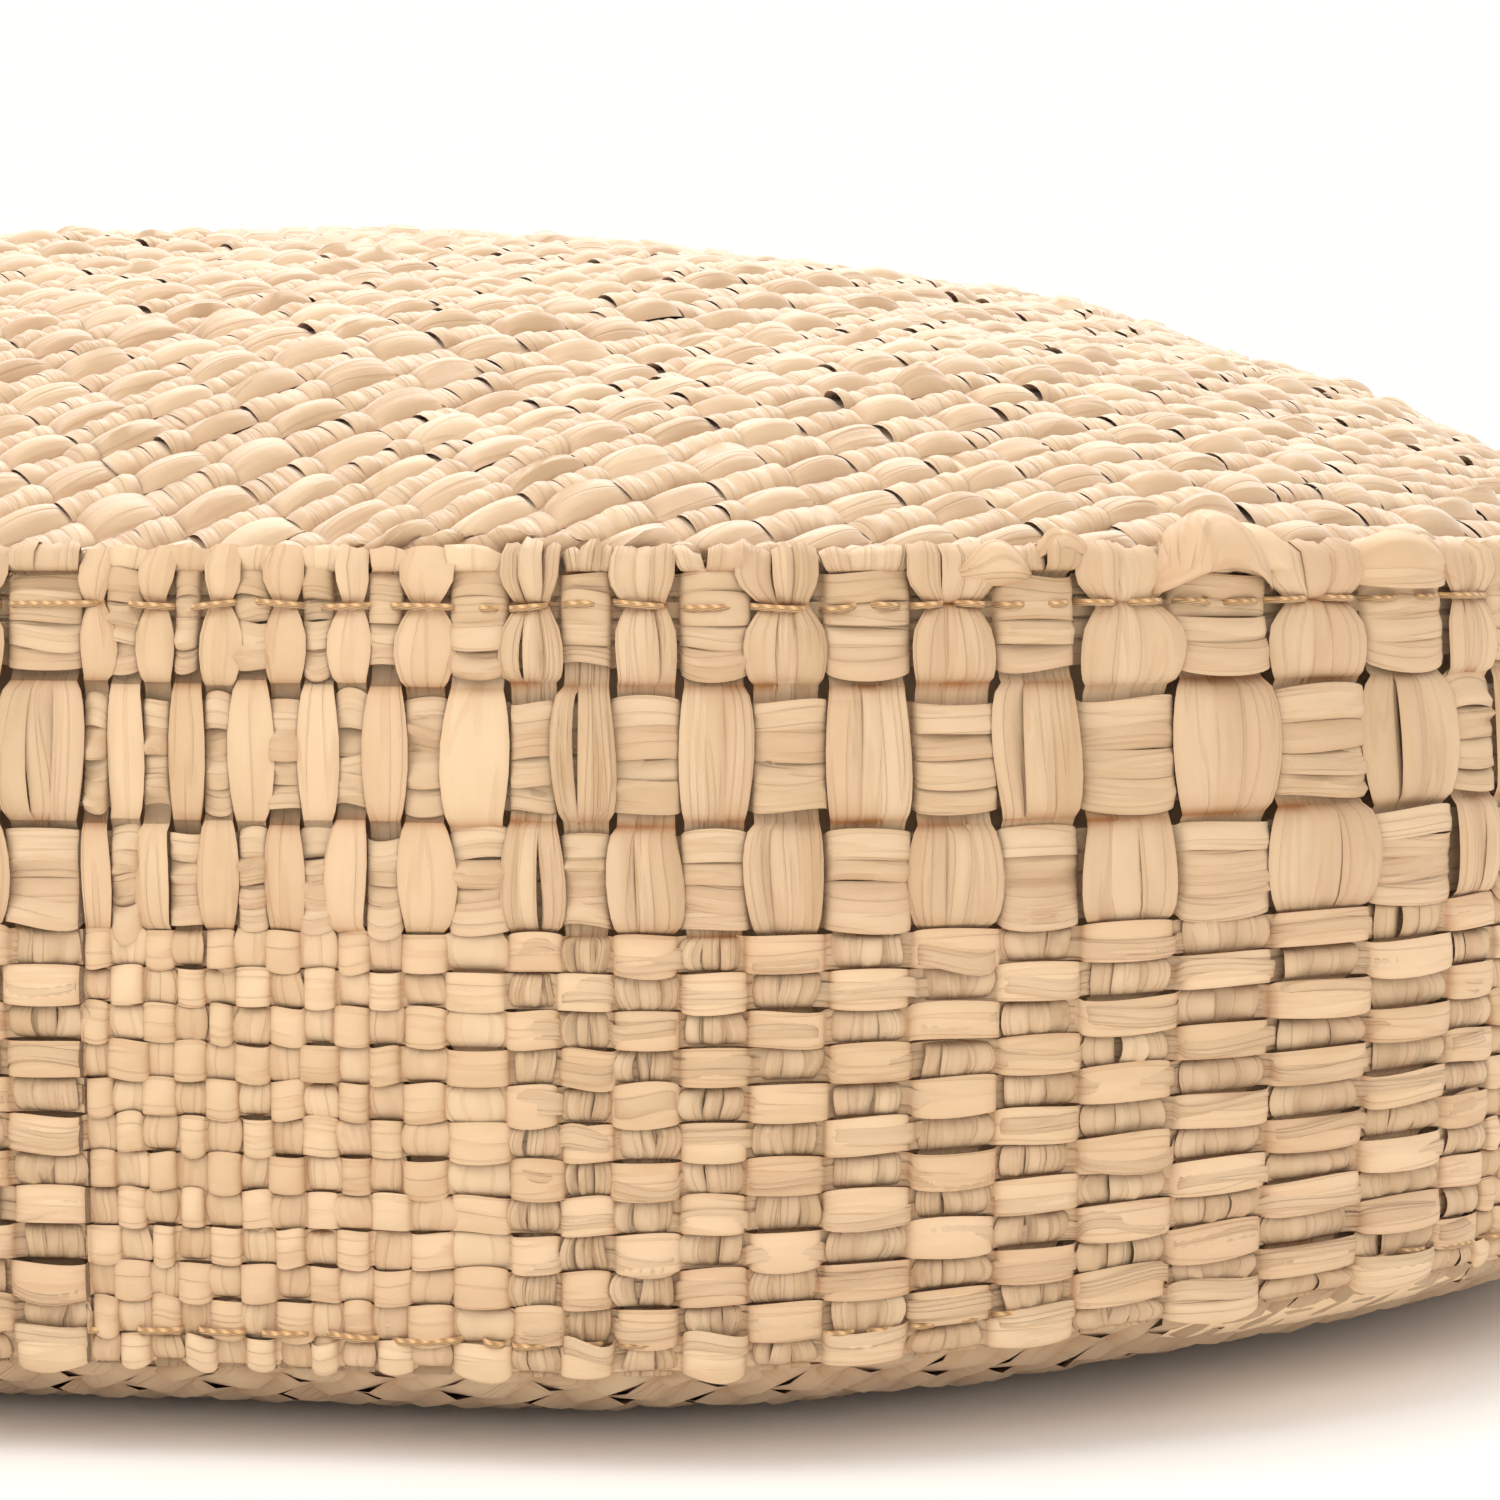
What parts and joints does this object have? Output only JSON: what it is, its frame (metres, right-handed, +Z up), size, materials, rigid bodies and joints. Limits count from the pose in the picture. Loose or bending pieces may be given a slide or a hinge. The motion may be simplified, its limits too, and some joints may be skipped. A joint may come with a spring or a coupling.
{
  "type": "chair seat pad",
  "caption": "Square boxed chair seat pad with rounded corners: a crowned foam and fibre filling in a hand-woven raffia cover with folded, stitched edges.",
  "frame": {"origin": "centre of the flat underside, on the seat that the pad rests on", "axes": "+Z up through the crown, -Y towards the front edge, +X to the right seen from the front"},
  "size_m": [0.4014, 0.4014, 0.1275],
  "materials": {
    "raffia": "natural raffia leaf strands, satin, with lengthwise fibre lines and folds",
    "thread": "golden tan twisted sewing thread",
    "calico": "unbleached plain-weave cotton calico",
    "fibre": "white lofted polyester fibre",
    "foam": "open-cell upholstery foam, cream"
  },
  "bodies": {
    "root": {"foam_core": "foam", "crown_filling": "fibre", "under_filling": "fibre", "inner_case_top": "calico", "inner_case_band": "calico", "inner_case_bottom": "calico", "inner_case_thread": "calico", "top_panel_right_strands": "raffia", "top_panel_left_strands": "raffia", "bottom_panel_right_strands": "raffia", "bottom_panel_left_strands": "raffia", "band_wide_wefts": "raffia", "band_fine_wefts": "raffia", "band_fine_uprights": "raffia", "band_coarse_uprights": "raffia", "top_hem": "raffia", "bottom_hem": "raffia", "top_seam_thread": "thread", "bottom_seam_thread": "thread"}
  },
  "joints": []
}
